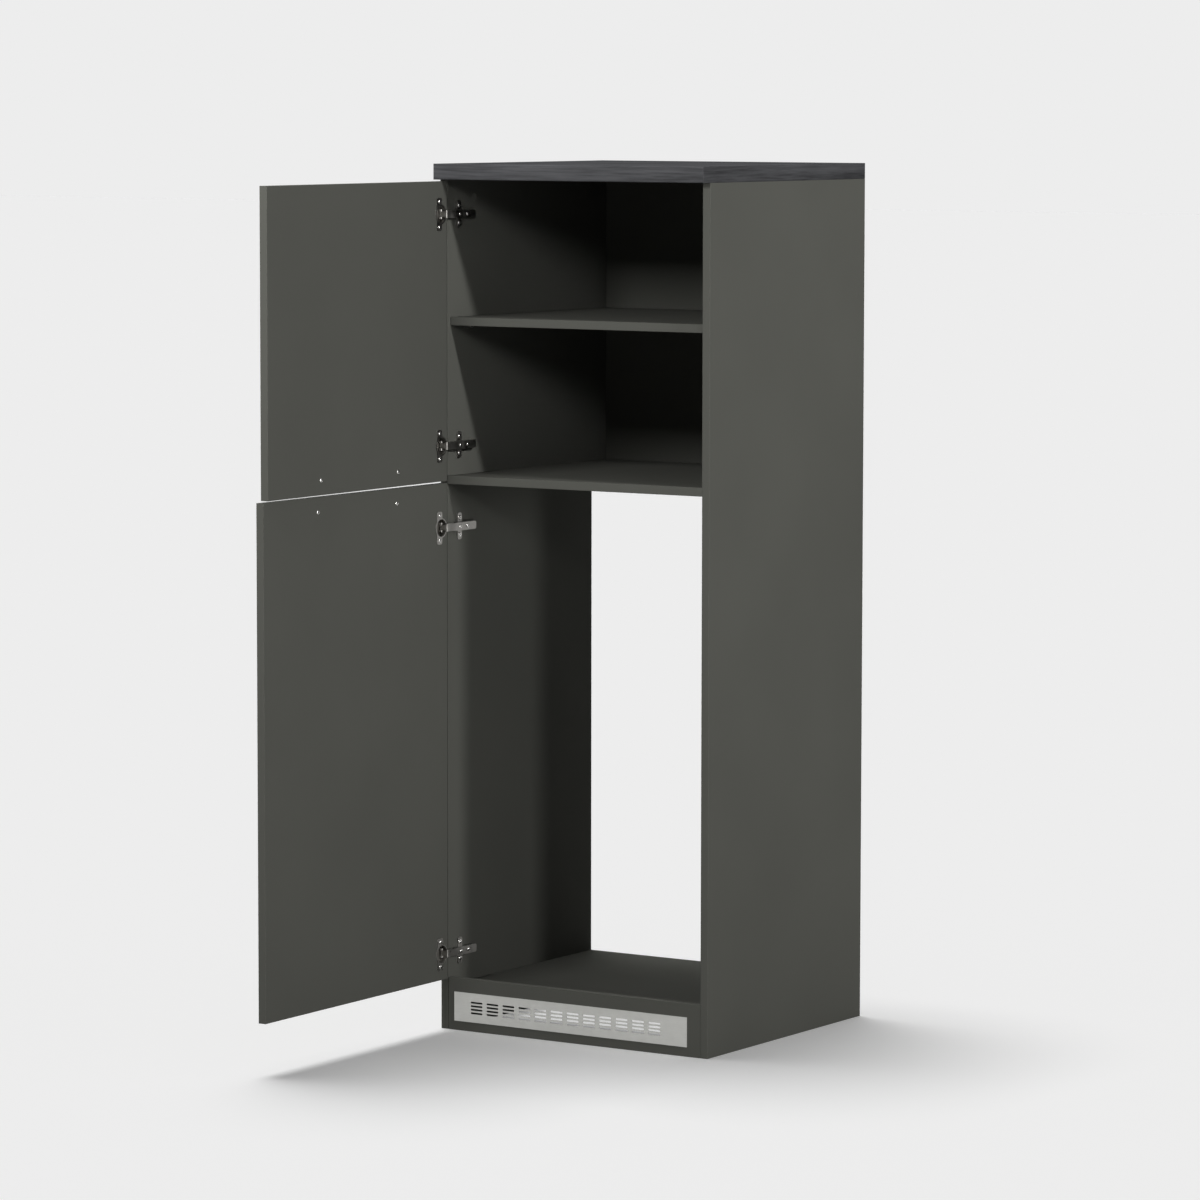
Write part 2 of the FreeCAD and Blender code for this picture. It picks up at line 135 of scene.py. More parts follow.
def seen_mask(tree):
    """A mask that is one for rays from the camera, a reflection or clear glass, else zero."""
    path = tree.nodes.new("ShaderNodeLightPath")
    direct = add_math(tree, "MAXIMUM", path.outputs["Is Camera Ray"], path.outputs["Is Glossy Ray"])
    return add_math(tree, "MAXIMUM", direct, path.outputs["Is Transmission Ray"])


# %% World
pale = 0.847
sky_light = 0.12
white = (1.0, 1.0, 1.0, 1.0)

scene.view_settings.view_transform = "Standard"
world = bpy.data.worlds.new("studio")
scene.world = world
world.use_nodes = True
world_tree = world.node_tree
background = world_tree.nodes["Background"]
background.inputs["Color"].default_value = white
feed(world_tree, background.inputs["Strength"],
     add_range(world_tree, seen_mask(world_tree), to_low=sky_light, to_high=pale))
print("background", pale, "light from all sides", sky_light)

# %% [markdown]
# Floor
# The floor carries the soft shadows and must meet the world without a line. Its brightness follows
# from the light above and the sky, so a small glow, seen by the camera, in reflections and through
# glass, lifts it to the same pale tone. For light that bounces on to the boards it is a middle grey,
# so that the lower boards aren't lit from below.

# %% Floor
floor_shade = 0.85
floor_bounce = 0.50
floor_reach = 60.0
overhead_strength = 1.9
overhead_from = Vector((-0.19, 0.08, 0.98))
overhead_angle = 25.0
floor_light = sky_light + overhead_strength * overhead_from.normalized().z / math.pi
floor_glow = pale - floor_shade * floor_light

floor_material = bpy.data.materials.new("pale_floor")
floor_material.use_nodes = True
floor_tree = floor_material.node_tree
floor_shader = floor_tree.nodes["Principled BSDF"]
floor_shader.inputs["Roughness"].default_value = 1.0
floor_shader.inputs["Specular IOR Level"].default_value = 0.0
floor_shader.inputs["Emission Color"].default_value = white
floor_mask = seen_mask(floor_tree)
feed(floor_tree, floor_shader.inputs["Emission Strength"],
     add_range(floor_tree, floor_mask, to_low=0.0, to_high=floor_glow))
feed(floor_tree, floor_shader.inputs["Base Color"],
     add_range(floor_tree, floor_mask, to_low=floor_bounce, to_high=floor_shade))

floor_mesh = bpy.data.meshes.new("floor")
bm = bmesh.new()
bmesh.ops.create_grid(bm, x_segments=1, y_segments=1, size=floor_reach)
bm.to_mesh(floor_mesh)
bm.free()
floor_mesh.materials.append(floor_material)
floor = bpy.data.objects.new("floor", floor_mesh)
scene.collection.objects.link(floor)
print("light on the floor", round(floor_light, 3), "glow", round(floor_glow, 3))

# %% [markdown]
# Shared effects
# Melamine, wood decor and metal all show a fine variation that a flat colour lacks. Each effect is
# built once as a node group with named inputs, and the materials place it with their own values. A
# group only gives out a colour, a roughness and a height: the Principled shader stays in the
# material.


# %% Node group helpers
def new_group(name, numbers=()):
    """A group on coordinates, two colours and named numbers; returns tree, inputs and outputs."""
    tree = bpy.data.node_groups.new(name, "ShaderNodeTree")
    inputs = [
        ("Vector", "NodeSocketVector", (0, 0, 0)),
        ("Dark", "NodeSocketColor", (0, 0, 0, 1)),
        ("Light", "NodeSocketColor", (1, 1, 1, 1)),
    ]
    inputs += [(label, "NodeSocketFloat", value) for label, value in numbers]
    for label, kind, value in inputs:
        socket = tree.interface.new_socket(label, in_out="INPUT", socket_type=kind)
        socket.default_value = value
    tree.interface.new_socket("Color", in_out="OUTPUT", socket_type="NodeSocketColor")
    for label in ("Roughness", "Height"):
        tree.interface.new_socket(label, in_out="OUTPUT", socket_type="NodeSocketFloat")
    start = tree.nodes.new("NodeGroupInput")
    end = tree.nodes.new("NodeGroupOutput")
    return tree, start.outputs, end.inputs


def add_noise(tree, vector, scale, detail, rough=0.5):
    """A noise texture on the given coordinates; returns its Fac socket."""
    noise = tree.nodes.new("ShaderNodeTexNoise")
    noise.inputs["Detail"].default_value = detail
    noise.inputs["Roughness"].default_value = rough
    feed(tree, noise.inputs["Scale"], scale)
    tree.links.new(vector, noise.inputs["Vector"])
    return noise.outputs["Fac"]


def add_mask(tree, noise, low=0.30, high=0.70):
    """A mask from zero to one over the part of a noise that matters."""
    return add_range(tree, noise, to_low=0.0, to_high=1.0, from_low=low, from_high=high)


def add_shares(tree, shares):
    """The sum of masks, each times its share; returns the result socket."""
    total = None
    for mask, share in shares:
        part = add_math(tree, "MULTIPLY", mask, share)
        total = part if total is None else add_math(tree, "ADD", total, part)
    return total


def add_mix(tree, factor, first, second):
    """A mix of two colour sockets; returns the result socket."""
    mix = tree.nodes.new("ShaderNodeMix")
    mix.data_type = "RGBA"
    colour_a, colour_b = [socket for socket in mix.inputs if socket.type == "RGBA"]
    tree.links.new(factor, mix.inputs["Factor"])
    tree.links.new(first, colour_a)
    tree.links.new(second, colour_b)
    return next(socket for socket in mix.outputs if socket.type == "RGBA")


# %% Melamine grain group
def build_melamine_group():
    """Fine pores and slow cloudiness of a printed melamine face."""
    tree, given, result = new_group("melamine_surface", [("Pore Size", 1400.0)])
    pores = add_noise(tree, given["Vector"], scale=given["Pore Size"], detail=1.0)
    clouds = add_noise(tree, given["Vector"], scale=3.0, detail=3.0)
    pore_mask = add_mask(tree, pores)
    cloud_mask = add_mask(tree, clouds)
    shade = add_shares(tree, [(pore_mask, 0.45), (cloud_mask, 0.55)])
    feed(tree, result["Color"], add_mix(tree, shade, given["Dark"], given["Light"]))
    feed(tree, result["Roughness"], add_range(tree, shade, to_low=0.92, to_high=0.80))
    feed(tree, result["Height"], pore_mask)
    return tree


melamine_group = build_melamine_group()
print("group", melamine_group.name)


# %% Wood decor group
def add_stretch(tree, vector, along_x):
    """Coordinates scaled along X, which stretches a noise to streaks; returns the vector socket."""
    stretch = tree.nodes.new("ShaderNodeMapping")
    stretch.inputs["Scale"].default_value = (along_x, 1.0, 1.0)
    tree.links.new(vector, stretch.inputs["Vector"])
    return stretch.outputs["Vector"]


def build_decor_group():
    """Long streaks along X with a few darker pores, as on a printed ash decor."""
    tree, given, result = new_group("wood_decor")
    streaked = add_stretch(tree, given["Vector"], along_x=0.05)
    broad = add_noise(tree, streaked, scale=45.0, detail=4.0, rough=0.55)
    fine = add_noise(tree, streaked, scale=260.0, detail=3.0, rough=0.6)
    drift = add_noise(tree, given["Vector"], scale=5.0, detail=2.0)
    broad_mask = add_mask(tree, broad, low=0.32, high=0.68)
    fine_mask = add_mask(tree, fine, low=0.30, high=0.62)
    drift_mask = add_mask(tree, drift)
    shade = add_shares(tree, [(broad_mask, 0.45), (fine_mask, 0.35), (drift_mask, 0.20)])
    feed(tree, result["Color"], add_mix(tree, shade, given["Dark"], given["Light"]))
    feed(tree, result["Roughness"], add_range(tree, shade, to_low=0.85, to_high=0.68))
    feed(tree, result["Height"], fine_mask)
    return tree


decor_group = build_decor_group()
print("group", decor_group.name)


# %% Brushed metal group
def build_metal_group():
    """Faint brushing along X and slow staining, for plated, satin and cast metal."""
    tree, given, result = new_group("metal_finish", [("Smooth", 0.2), ("Rough", 0.4)])
    streaked = add_stretch(tree, given["Vector"], along_x=0.03)
    brushing = add_noise(tree, streaked, scale=1500.0, detail=2.0, rough=0.6)
    stains = add_noise(tree, given["Vector"], scale=60.0, detail=3.0)
    brush_mask = add_mask(tree, brushing)
    stain_mask = add_mask(tree, stains)
    shade = add_shares(tree, [(brush_mask, 0.5), (stain_mask, 0.5)])
    span = add_math(tree, "SUBTRACT", given["Rough"], given["Smooth"])
    stained = add_math(tree, "MULTIPLY", stain_mask, span)
    feed(tree, result["Color"], add_mix(tree, shade, given["Dark"], given["Light"]))
    feed(tree, result["Roughness"], add_math(tree, "ADD", stained, given["Smooth"]))
    feed(tree, result["Height"], brush_mask)
    return tree


metal_group = build_metal_group()
print("group", metal_group.name)

# %% [markdown]
# Finishes
# Each finish is one material: a Principled shader fed by its group, with a bump finer than a tenth of a
# millimetre, and coarser only on raw chipboard. Colours are written as on the real board, because the lamps show
# them about as they are, except where a comment below says that shade or a highlight is painted in. A turn can be
# given to run the grain or the brushing along another axis.

# %% Finish builder
bump_strength = 0.5


def finish(name, group, dark, light, bump, metallic=0.0, specular=0.5, turn=(0, 0, 0), numbers=None):
    """A material whose colour, roughness and bump come from a group on Object coordinates."""
    material = bpy.data.materials.new(name)
    material.use_nodes = True
    tree = material.node_tree
    shader = tree.nodes["Principled BSDF"]
    shader.inputs["Metallic"].default_value = metallic
    shader.inputs["Specular IOR Level"].default_value = specular
    where = tree.nodes.new("ShaderNodeTexCoord")
    mapping = tree.nodes.new("ShaderNodeMapping")
    mapping.inputs["Rotation"].default_value = turn
    surface = tree.nodes.new("ShaderNodeGroup")
    surface.node_tree = group
    surface.inputs["Dark"].default_value = (*dark, 1.0)
    surface.inputs["Light"].default_value = (*light, 1.0)
    for label, value in (numbers or {}).items():
        surface.inputs[label].default_value = value
    relief = tree.nodes.new("ShaderNodeBump")
    relief.inputs["Strength"].default_value = bump_strength
    relief.inputs["Distance"].default_value = bump
    tree.links.new(where.outputs["Object"], mapping.inputs["Vector"])
    tree.links.new(mapping.outputs["Vector"], surface.inputs["Vector"])
    tree.links.new(surface.outputs["Color"], shader.inputs["Base Color"])
    tree.links.new(surface.outputs["Roughness"], shader.inputs["Roughness"])
    tree.links.new(surface.outputs["Height"], relief.inputs["Height"])
    tree.links.new(relief.outputs["Normal"], shader.inputs["Normal"])
    return material


# %% Finishes of the boards
quarter = math.pi / 2


def graphite(level):
    """The dark grey of the boards, with a trace of olive."""
    return (1.02 * level, 1.03 * level, 0.915 * level)


def ash_grey(level):
    """The cool grey of the top's printed ash."""
    return (0.97 * level, 0.98 * level, 1.03 * level)


melamine = finish("graphite_melamine", melamine_group, graphite(0.078), graphite(0.090),
                  bump=0.00004, specular=0.03, numbers={"Pore Size": 1400.0})
# The band is a little lighter than the faces: partly its own tone, partly a painted highlight on the edges.
edge_band_tone_and_highlight = finish("graphite_band_tone_and_highlight", melamine_group, graphite(0.082), graphite(0.093),
                   bump=0.00003, specular=0.05, numbers={"Pore Size": 900.0})
decor = finish("ash_decor", decor_group, ash_grey(0.022), ash_grey(0.108),
               bump=0.00008, specular=0.0)
# The ends' copy of the decor is darker than the front and top: painted shade on the ends.
painted_shade_decor_end = finish("ash_decor_painted_shade_end", decor_group, ash_grey(0.019), ash_grey(0.090),
                   bump=0.00008, specular=0.0, turn=(0, 0, quarter))
beech = finish("beech", decor_group, (0.42, 0.27, 0.14), (0.62, 0.45, 0.27), bump=0.00005)
cap_plastic = finish("graphite_cap", melamine_group, graphite(0.076), graphite(0.086),
                     bump=0.00002, specular=0.1, numbers={"Pore Size": 2200.0})
chipboard = finish("raw_chipboard", melamine_group, (0.20, 0.13, 0.07), (0.46, 0.34, 0.21),
                   bump=0.0003, specular=0.05, numbers={"Pore Size": 420.0})
board_materials = (melamine, edge_band_tone_and_highlight, decor, painted_shade_decor_end, beech, cap_plastic, chipboard)
print("board finishes", [material.name for material in board_materials])

# %% Finishes of the metal
nickel = finish("nickel_plate", metal_group, (0.20, 0.195, 0.18), (0.36, 0.35, 0.33),
                bump=0.00001, metallic=1.0, numbers={"Smooth": 0.26, "Rough": 0.44})
screw_steel = finish("screw_steel", metal_group, (0.58, 0.57, 0.55), (0.80, 0.79, 0.76),
                     bump=0.00001, metallic=1.0, numbers={"Smooth": 0.14, "Rough": 0.28})
satin = finish("satin_aluminium", metal_group, (0.52, 0.52, 0.495), (0.60, 0.60, 0.575),
               bump=0.00001, metallic=0.35, specular=0.2, numbers={"Smooth": 0.50, "Rough": 0.62})
handle_steel = finish("brushed_steel", metal_group, (0.34, 0.34, 0.33), (0.48, 0.48, 0.465),
                      bump=0.00001, metallic=1.0, turn=(0, 0, quarter),
                      numbers={"Smooth": 0.32, "Rough": 0.44})
zinc = finish("cast_zinc", metal_group, (0.30, 0.30, 0.31), (0.46, 0.46, 0.47),
              bump=0.00003, metallic=0.9, numbers={"Smooth": 0.45, "Rough": 0.60})
# The cross recesses of screws and cams are near black: painted shade, as the metal there is the same as the
# head's.
painted_shade_recess = finish("recess_painted_shade", metal_group, (0.03, 0.03, 0.03), (0.06, 0.06, 0.06),
                bump=0.00001, metallic=0.6, numbers={"Smooth": 0.5, "Rough": 0.7})
metal_materials = (nickel, screw_steel, satin, handle_steel, zinc, painted_shade_recess)
print("metal finishes", [material.name for material in metal_materials])

# %% [markdown]
# Pieces
# Every piece starts from its node in the frame, so that its size and place can't drift. A node's mesh
# is loose triangles, so a copy of it is merged before anything else is done. The finished piece then
# takes the node's place on the node's body.

# %% Piece helpers
node_body = {node: body for body, members in frame["record"]["behaviour"]["bodies"].items()
             for node in members}
merge_gap = 1e-6
flat_bend = math.radians(0.5)
smooth_bend = math.radians(35.0)


def make_piece(bm, node, materials):
    """Turn a bmesh into the piece that stands for a node, riding on the node's body.

    Normals weighted by area keep the large faces flat, so that only the rounded edges shade smoothly.
    """
    mesh = bpy.data.meshes.new(node + "_look")
    bm.normal_update()
    bm.to_mesh(mesh)
    bm.free()
    for material in materials:
        mesh.materials.append(material)
    mesh.shade_smooth()
    mesh.set_sharp_from_angle(angle=smooth_bend)
    piece = bpy.data.objects.new(node + "_look", mesh)
    scene.collection.objects.link(piece)
    flat_faces = piece.modifiers.new("flat_faces", "WEIGHTED_NORMAL")
    flat_faces.keep_sharp = True
    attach(piece, node_body[node])
    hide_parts(node)
    return piece


def joined_copy(node):
    """A bmesh copy of a node with its loose triangles joined."""
    bm = bmesh.new()
    bm.from_mesh(frame["nodes"][node].data)
    bmesh.ops.remove_doubles(bm, verts=bm.verts, dist=merge_gap)
    return bm


def merged_copy(node):
    """A joined copy of a node whose flat neighbouring triangles are one face."""
    bm = joined_copy(node)
    bmesh.ops.dissolve_limit(bm, angle_limit=flat_bend, verts=bm.verts, edges=bm.edges)
    return bm


def soften_edges(bm, edges, width):
    """Bevel edges with two segments; returns the new faces."""
    return bmesh.ops.bevel(bm, geom=edges, offset=width, offset_type="OFFSET", affect="EDGES",
                           segments=2, profile=0.5, material=-1, clamp_overlap=True)["faces"]


def corners_of(points):
    """Lowest and highest corner of some points."""
    low = Vector([min(point[i] for point in points) for i in range(3)])
    high = Vector([max(point[i] for point in points) for i in range(3)])
    return low, high


# %% [markdown]
# Boards
# A melamine board is chipboard with a printed face on both sides and a thin band glued on its edges. The band is
# rounded by about a millimetre, and that small round catches the light and makes a board look real. A board could
# be a scaled cube, but then the hinge cups, cams and caps would sink into solid wood. So each board is a merged
# copy of its node, which has the bores and grooves, with the outer edges bevelled. The two large faces keep the
# face finish, the edges take the band, and bores and grooves show the raw chipboard. The band's finish is a little
# lighter than the faces, partly the band's own tone and partly a painted highlight on the edges. On the plinth
# only the upright edges are rounded, and more than elsewhere, so that its joints with the side panels show.

# %% Boards with bores
band_reach = 0.003
flush = 1e-5
aligned = 0.99
exactly_square = 0.999
sharp_bend = 1.0
face_index = 0
band_index = 1
bore_index = 2
upright = Matrix.Identity(4)


def board_faces(bm, axis, inner_corner):
    """Sort a board's faces: the two large ones, those along the outline, and bores and grooves."""
    low, high = corners_of([vert.co for vert in bm.verts])
    outline = [(i, place) for i in range(3) if axis[i] == 0 for place in (low[i], high[i])]
    outline += inner_corner
    bm.normal_update()
    for face in bm.faces:
        middle = face.calc_center_median()
        flat = abs(face.normal.dot(axis)) > aligned
        on_face = min(abs((middle - low).dot(axis)), abs((middle - high).dot(axis))) < flush
        if flat and on_face:
            face.material_index = face_index
        elif any(abs(middle[i] - place) < band_reach for i, place in outline):
            face.material_index = band_index
        else:
            face.material_index = bore_index


def runs_along(edge, axis):
    """Whether an edge runs along an axis."""
    return abs((edge.verts[0].co - edge.verts[1].co).normalized().dot(axis)) > aligned


def make_board(node, axis, materials, width, turn=upright, inner_corner=(), along=None):
    """A board with its bores and with banded, rounded edges in place of its node.

    A turn stands for an open door. With an axis to go along, only the edges along it are rounded.
    """
    bm = merged_copy(node)
    bmesh.ops.transform(bm, matrix=turn.inverted(), verts=bm.verts)
    board_faces(bm, axis, list(inner_corner))
    square = {face for face in bm.faces
              if face.material_index != bore_index and max(map(abs, face.normal)) > exactly_square}
    outer = [edge for edge in bm.edges
             if edge.is_convex and edge.calc_face_angle(0) > sharp_bend
             and square.issuperset(edge.link_faces)]
    if along:
        outer = [edge for edge in outer if runs_along(edge, along)]
    for face in soften_edges(bm, outer, width):
        face.material_index = band_index
    bmesh.ops.transform(bm, matrix=turn, verts=bm.verts)
    print(node, "with", len(outer), "rounded edges and", len(bm.faces), "faces")
    return make_piece(bm, node, materials)


# %% Boards of the carcass
band_round = 0.0008
joint_round = 0.0022
hardboard_round = 0.0003
axis_x = Vector((1, 0, 0))
axis_y = Vector((0, 1, 0))
board_finish = [melamine, edge_band_tone_and_highlight, chipboard]

make_board("right_side_panel", axis_x, board_finish, band_round)
for node in ("fixed_shelf", "adjustable_shelf", "floor_panel"):
    make_board(node, axis_z, board_finish, band_round)
make_board("plinth_board", axis_y, board_finish, joint_round, along=axis_z)
make_board("upper_back_panel", axis_y, board_finish, hardboard_round)

# %% [markdown]
# Left panel
# The left panel ends earlier behind the niche, to let warm air rise, and it has an inner corner
# there. The edges of that notch are banded like the outer ones, so its two planes are named as part
# of the outline.

# %% Left panel
notch_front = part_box("floor_panel")[1].y
notch_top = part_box("fixed_shelf")[0].z
make_board("left_side_panel", axis_x, board_finish, band_round,
           inner_corner=((1, notch_front), (2, notch_top)))
print("left panel notched at", round(notch_front, 3), "below", round(notch_top, 3))

# %% [markdown]
# Top board
# The top is thicker than the other boards and wears a printed ash decor on all sides. Its streaks run along the
# board, so the two ends get the decor with the grain turned, in a darker copy whose difference is painted shade on
# the ends.

# %% Top board
end_slant = 0.7
top = make_board("top_board", axis_z, [decor, painted_shade_decor_end, chipboard], band_round)
# Front and back edges take the lighter decor, the ends keep the darker copy: painted shade on the ends.
for face in top.data.polygons:
    if face.material_index == band_index and abs(face.normal.x) < end_slant:
        face.material_index = face_index
print("top board with", len(top.data.polygons), "faces")

# %% [markdown]
# Doors
# The doors stand open, so their nodes lie slanted in the frame. A door is easier to sort into faces
# and edges when it is square, so its copy is turned back about the joint to the closed place, treated
# like the other boards, and turned open again inside its mesh. The turn is the joint's upper limit,
# which is the closed position.

# %% Doors
doors = ("upper_door", "lower_door")
door_round = 0.0006


def door_turn(body):
    """Matrix that swings a door's closed shape to where it stands, from the joint of its body."""
    joint = next(entry for entry in frame["joints"] if entry["child"] == body)
    pivot = Matrix.Translation(Vector(joint["pos_m"]))
    swing = Matrix.Rotation(-math.radians(joint["range_deg"][1]), 4, Vector(joint["axis"]))
    return pivot @ swing @ pivot.inverted()


for door in doors:
    make_board(door, axis_y, board_finish, door_round, turn=door_turn(door))

# %% [markdown]
# Hinges, handles and grille
# These pieces are pressed, cast or drawn metal, and the CAD nodes already hold their true shapes. What
# they lack is the small round that every worked edge has. A copy of the node is merged into one skin,
# its flat triangles are joined, and its sharp edges are bevelled.

# %% Softened metal pieces
worked_bend = math.radians(40)
cup_round = 0.00025
metal_round = 0.0003
plate_round = 0.0004
sheet_round = 0.0002


def soften_node(node, material, width=metal_round):
    """A merged copy of a node with bevelled edges."""
    bm = merged_copy(node)
    sharp = [edge for edge in bm.edges if edge.is_manifold and edge.calc_face_angle(0) > worked_bend]
    soften_edges(bm, sharp, width)
    return make_piece(bm, node, [material])


hinges = [door + "_" + place + "_hinge" for door in doors for place in ("top", "bottom")]
for hinge in hinges:
    soften_node(hinge + "_cup", nickel, cup_round)
    soften_node(hinge + "_arm", nickel)
    soften_node(hinge + "_mounting_plate", nickel, plate_round)
soften_node("ventilation_grille", satin, sheet_round)
for door in doors:
    soften_node(door + "_handle", handle_steel)
soften_node("shelf_supports", nickel)
print("softened", len(hinges), "hinges, grille, handles and shelf supports")

# %% [markdown]
# Screws
# The hinges, handles and back panel are held by cross-head screws. The frame has them as plain headed rods, which
# is right for their places but not for a close look: a real head is a low dome with a cross driven into it. Half
# of a screw's outline is spun about its axis, the ring between the head's rim and a cross-shaped loop is filled,
# and that loop is drawn down and narrowed. The walls and floor of the cross get a near-black finish, which is
# painted shade in the recess. Size and place of every screw are measured on its own rod in the frame.

# %% Where the screws are
rim_share = 0.95


def rods_of(node, turn):
    """The points of each loose rod in a node, after a turn."""
    bm = joined_copy(node)
    bmesh.ops.transform(bm, matrix=turn, verts=bm.verts)
    rods = []
    visited = set()
    for first in bm.verts:
        if first in visited:
            continue
        visited.add(first)
        group = [first]
        for vert in group:
            for edge in vert.link_edges:
                other = edge.other_vert(vert)
                if other not in visited:
                    visited.add(other)
                    group.append(other)
        rods.append([vert.co.copy() for vert in group])
    bm.free()
    return rods


def flatten(points, outward):
    """Heights of points along a direction, and the points pressed flat along it."""
    heights = [point.dot(outward) for point in points]
    return heights, [point - outward * height for point, height in zip(points, heights)]


def measure_rod(points, outward):
    """Seat of a headed rod, radius and height of its head, radius and length of its shank."""
    heights, flat = flatten(points, outward)
    low, high = corners_of(flat)
    centre = (low + high) / 2
    reaches = [(point - centre).length for point in flat]
    head_radius = max(reaches)
    tip = min(heights)
    seat = min(height for height, reach in zip(heights, reaches) if reach > rim_share * head_radius)
    shank_radius = max(reach for height, reach in zip(heights, reaches) if height < tip + flush)
    return centre + outward * seat, head_radius, max(heights) - seat, shank_radius, seat - tip


print(len(rods_of("back_panel_screws", upright)), "screws in the back panel")

# %% Spun shapes with a cross
spin_gap = 1e-7
cross_narrowing = 0.62
recess_index = 1


def spin_outline(bm, outline, steps):
    """Spin half an outline, given as radius and height, about Z."""
    verts = [bm.verts.new((radius, 0, height)) for radius, height in outline]
    edges = [bm.edges.new(pair) for pair in zip(verts, verts[1:])]
    bmesh.ops.spin(bm, geom=verts + edges, cent=(0, 0, 0), axis=(0, 0, 1), angle=2 * math.pi,
                   steps=steps, use_merge=True)
    bmesh.ops.remove_doubles(bm, verts=bm.verts, dist=spin_gap)


def sink_cross(bm, reach, half_width, top, depth):
    """Fill the open top of a spun shape and sink a cross into it, with its own near-black material: painted shade
    in the cross.
    """
    rim = [edge for edge in bm.edges if edge.is_boundary]
    arm = [Vector((reach, -half_width, top)), Vector((reach, half_width, top)),
           Vector((half_width, half_width, top))]
    quarter_turns = [Matrix.Rotation(quarter * i, 3, "Z") for i in range(4)]
    corners = [bm.verts.new(turn @ corner) for turn in quarter_turns for corner in arm]
    loop = [bm.edges.new((corners[i - 1], corners[i])) for i in range(len(corners))]
    bmesh.ops.triangle_fill(bm, edges=rim + loop, use_beauty=True, normal=(0, 0, 1))
    sunk = bmesh.ops.extrude_edge_only(bm, edges=loop)["geom"]
    low_verts = [item for item in sunk if isinstance(item, bmesh.types.BMVert)]
    low_edges = [item for item in sunk if isinstance(item, bmesh.types.BMEdge)
                 and item.verts[0] in low_verts and item.verts[1] in low_verts]
    walls = [item for item in sunk if isinstance(item, bmesh.types.BMFace)]
    bmesh.ops.translate(bm, vec=(0, 0, -depth), verts=low_verts)
    bmesh.ops.scale(bm, vec=(cross_narrowing, cross_narrowing, 1.0), verts=low_verts)
    bottom = bmesh.ops.contextual_create(bm, geom=low_edges)["faces"]
    for face in walls + bottom:
        face.material_index = recess_index
    bmesh.ops.recalc_face_normals(bm, faces=bm.faces)


# %% One screw
# Shares of the shank's radius, across and up from the tip.
screw_tip = ((0.0, 0.0), (0.5, 0.8), (1.0, 2.2))
# Shares of the head's radius and of its height.
screw_head = ((0.96, 0.0), (1.0, 0.15), (0.985, 0.42), (0.90, 0.72), (0.72, 0.94))
screw_cross_reach = 0.55
screw_cross_half_width = 0.13
screw_cross_depth = 0.75
screw_steps = 24


def make_screw(head_radius, head_height, shank_radius, length):
    """A pan-head screw on the Z axis with its seat at the origin and its head upwards."""
    outline = [(across * shank_radius, up * shank_radius - length) for across, up in screw_tip]
    outline.append((shank_radius, 0.0))
    outline += [(across * head_radius, up * head_height) for across, up in screw_head]
    bm = bmesh.new()
    spin_outline(bm, outline, screw_steps)
    sink_cross(bm, screw_cross_reach * head_radius, screw_cross_half_width * head_radius,
               head_height, screw_cross_depth * head_height)
    return bm


# %% Screws in their places
first_roll = 0.5


def add_turned(target, bm, place, outward, roll):
    """Turn a shape from Z to an outward direction, move it to its place and join it to a target."""
    turn = outward.to_track_quat("Z", "Y").to_matrix().to_4x4() @ Matrix.Rotation(roll, 4, "Z")
    bmesh.ops.transform(bm, matrix=Matrix.Translation(place) @ turn, verts=bm.verts)
    mesh = bpy.data.meshes.new("one_fastener")
    bm.to_mesh(mesh)
    bm.free()
    target.from_mesh(mesh)
    bpy.data.meshes.remove(mesh)


def dress_screws(node, outward, turn):
    """Modelled screws in place of a node of headed rods, whose heads point outward before the turn."""
    rods = rods_of(node, turn.inverted())
    screws = bmesh.new()
    for number, points in enumerate(rods):
        seat, *sizes = measure_rod(points, outward)
        add_turned(screws, make_screw(*sizes), seat, outward, first_roll + number)
    bmesh.ops.transform(screws, matrix=turn, verts=screws.verts)
    make_piece(screws, node, [screw_steel, painted_shade_recess])
    return len(rods)


screw_count = dress_screws("back_panel_screws", axis_y, upright)
for door in doors:
    screw_count += dress_screws(door + "_handle_screws", axis_y, door_turn(door))
for hinge in hinges:
    cup_screws = hinge + "_cup_screws"
    screw_count += dress_screws(cup_screws, axis_y, door_turn(node_body[cup_screws]))
    screw_count += dress_screws(hinge + "_plate_screws", axis_x, upright)
    screw_count += dress_screws(hinge + "_arm_screws", axis_x, upright)
print(screw_count, "screws made")

# %% [markdown]
# Cams
# A cam is a small zinc drum, set into the underside of a board, that draws the connecting bolt in when it is
# turned. Its face has a bevelled rim and a cross for the driver, whose walls and floor are painted near black as
# shade. It is spun like the screws, and set where the frame's drum is. The cams of the top board sit under plastic
# caps, whose rims are rounded a little.

# %% Cams and caps
# All shares are of the cam's radius.
cam_face = ((1.0, -0.05), (0.93, 0.0), (0.80, 0.0), (0.77, -0.06), (0.70, -0.06))
cam_dish = -0.06
cam_cross_reach = 0.52
cam_cross_half_width = 0.11
cam_cross_depth = 0.45
cam_steps = 32
cam_roll = 0.3


def make_cam(radius, depth):
    """A cam on the Z axis with its face upwards at the origin."""
    outline = [(0.0, -depth), (radius, -depth)]
    outline += [(across * radius, up * radius) for across, up in cam_face]
    bm = bmesh.new()
    spin_outline(bm, outline, cam_steps)
    sink_cross(bm, cam_cross_reach * radius, cam_cross_half_width * radius,
               cam_dish * radius, cam_cross_depth * radius)
    return bm


def dress_cams(node, outward):
    """Modelled cams in place of a node of plain drums."""
    drums = rods_of(node, upright)
    cams = bmesh.new()
    for number, points in enumerate(drums):
        heights, flat = flatten(points, outward)
        low, high = corners_of(flat)
        cam = make_cam(max(high - low) / 2, max(heights) - min(heights))
        face_middle = (low + high) / 2 + outward * max(heights)
        add_turned(cams, cam, face_middle, outward, cam_roll * number)
    make_piece(cams, node, [zinc, painted_shade_recess])
    return len(drums)


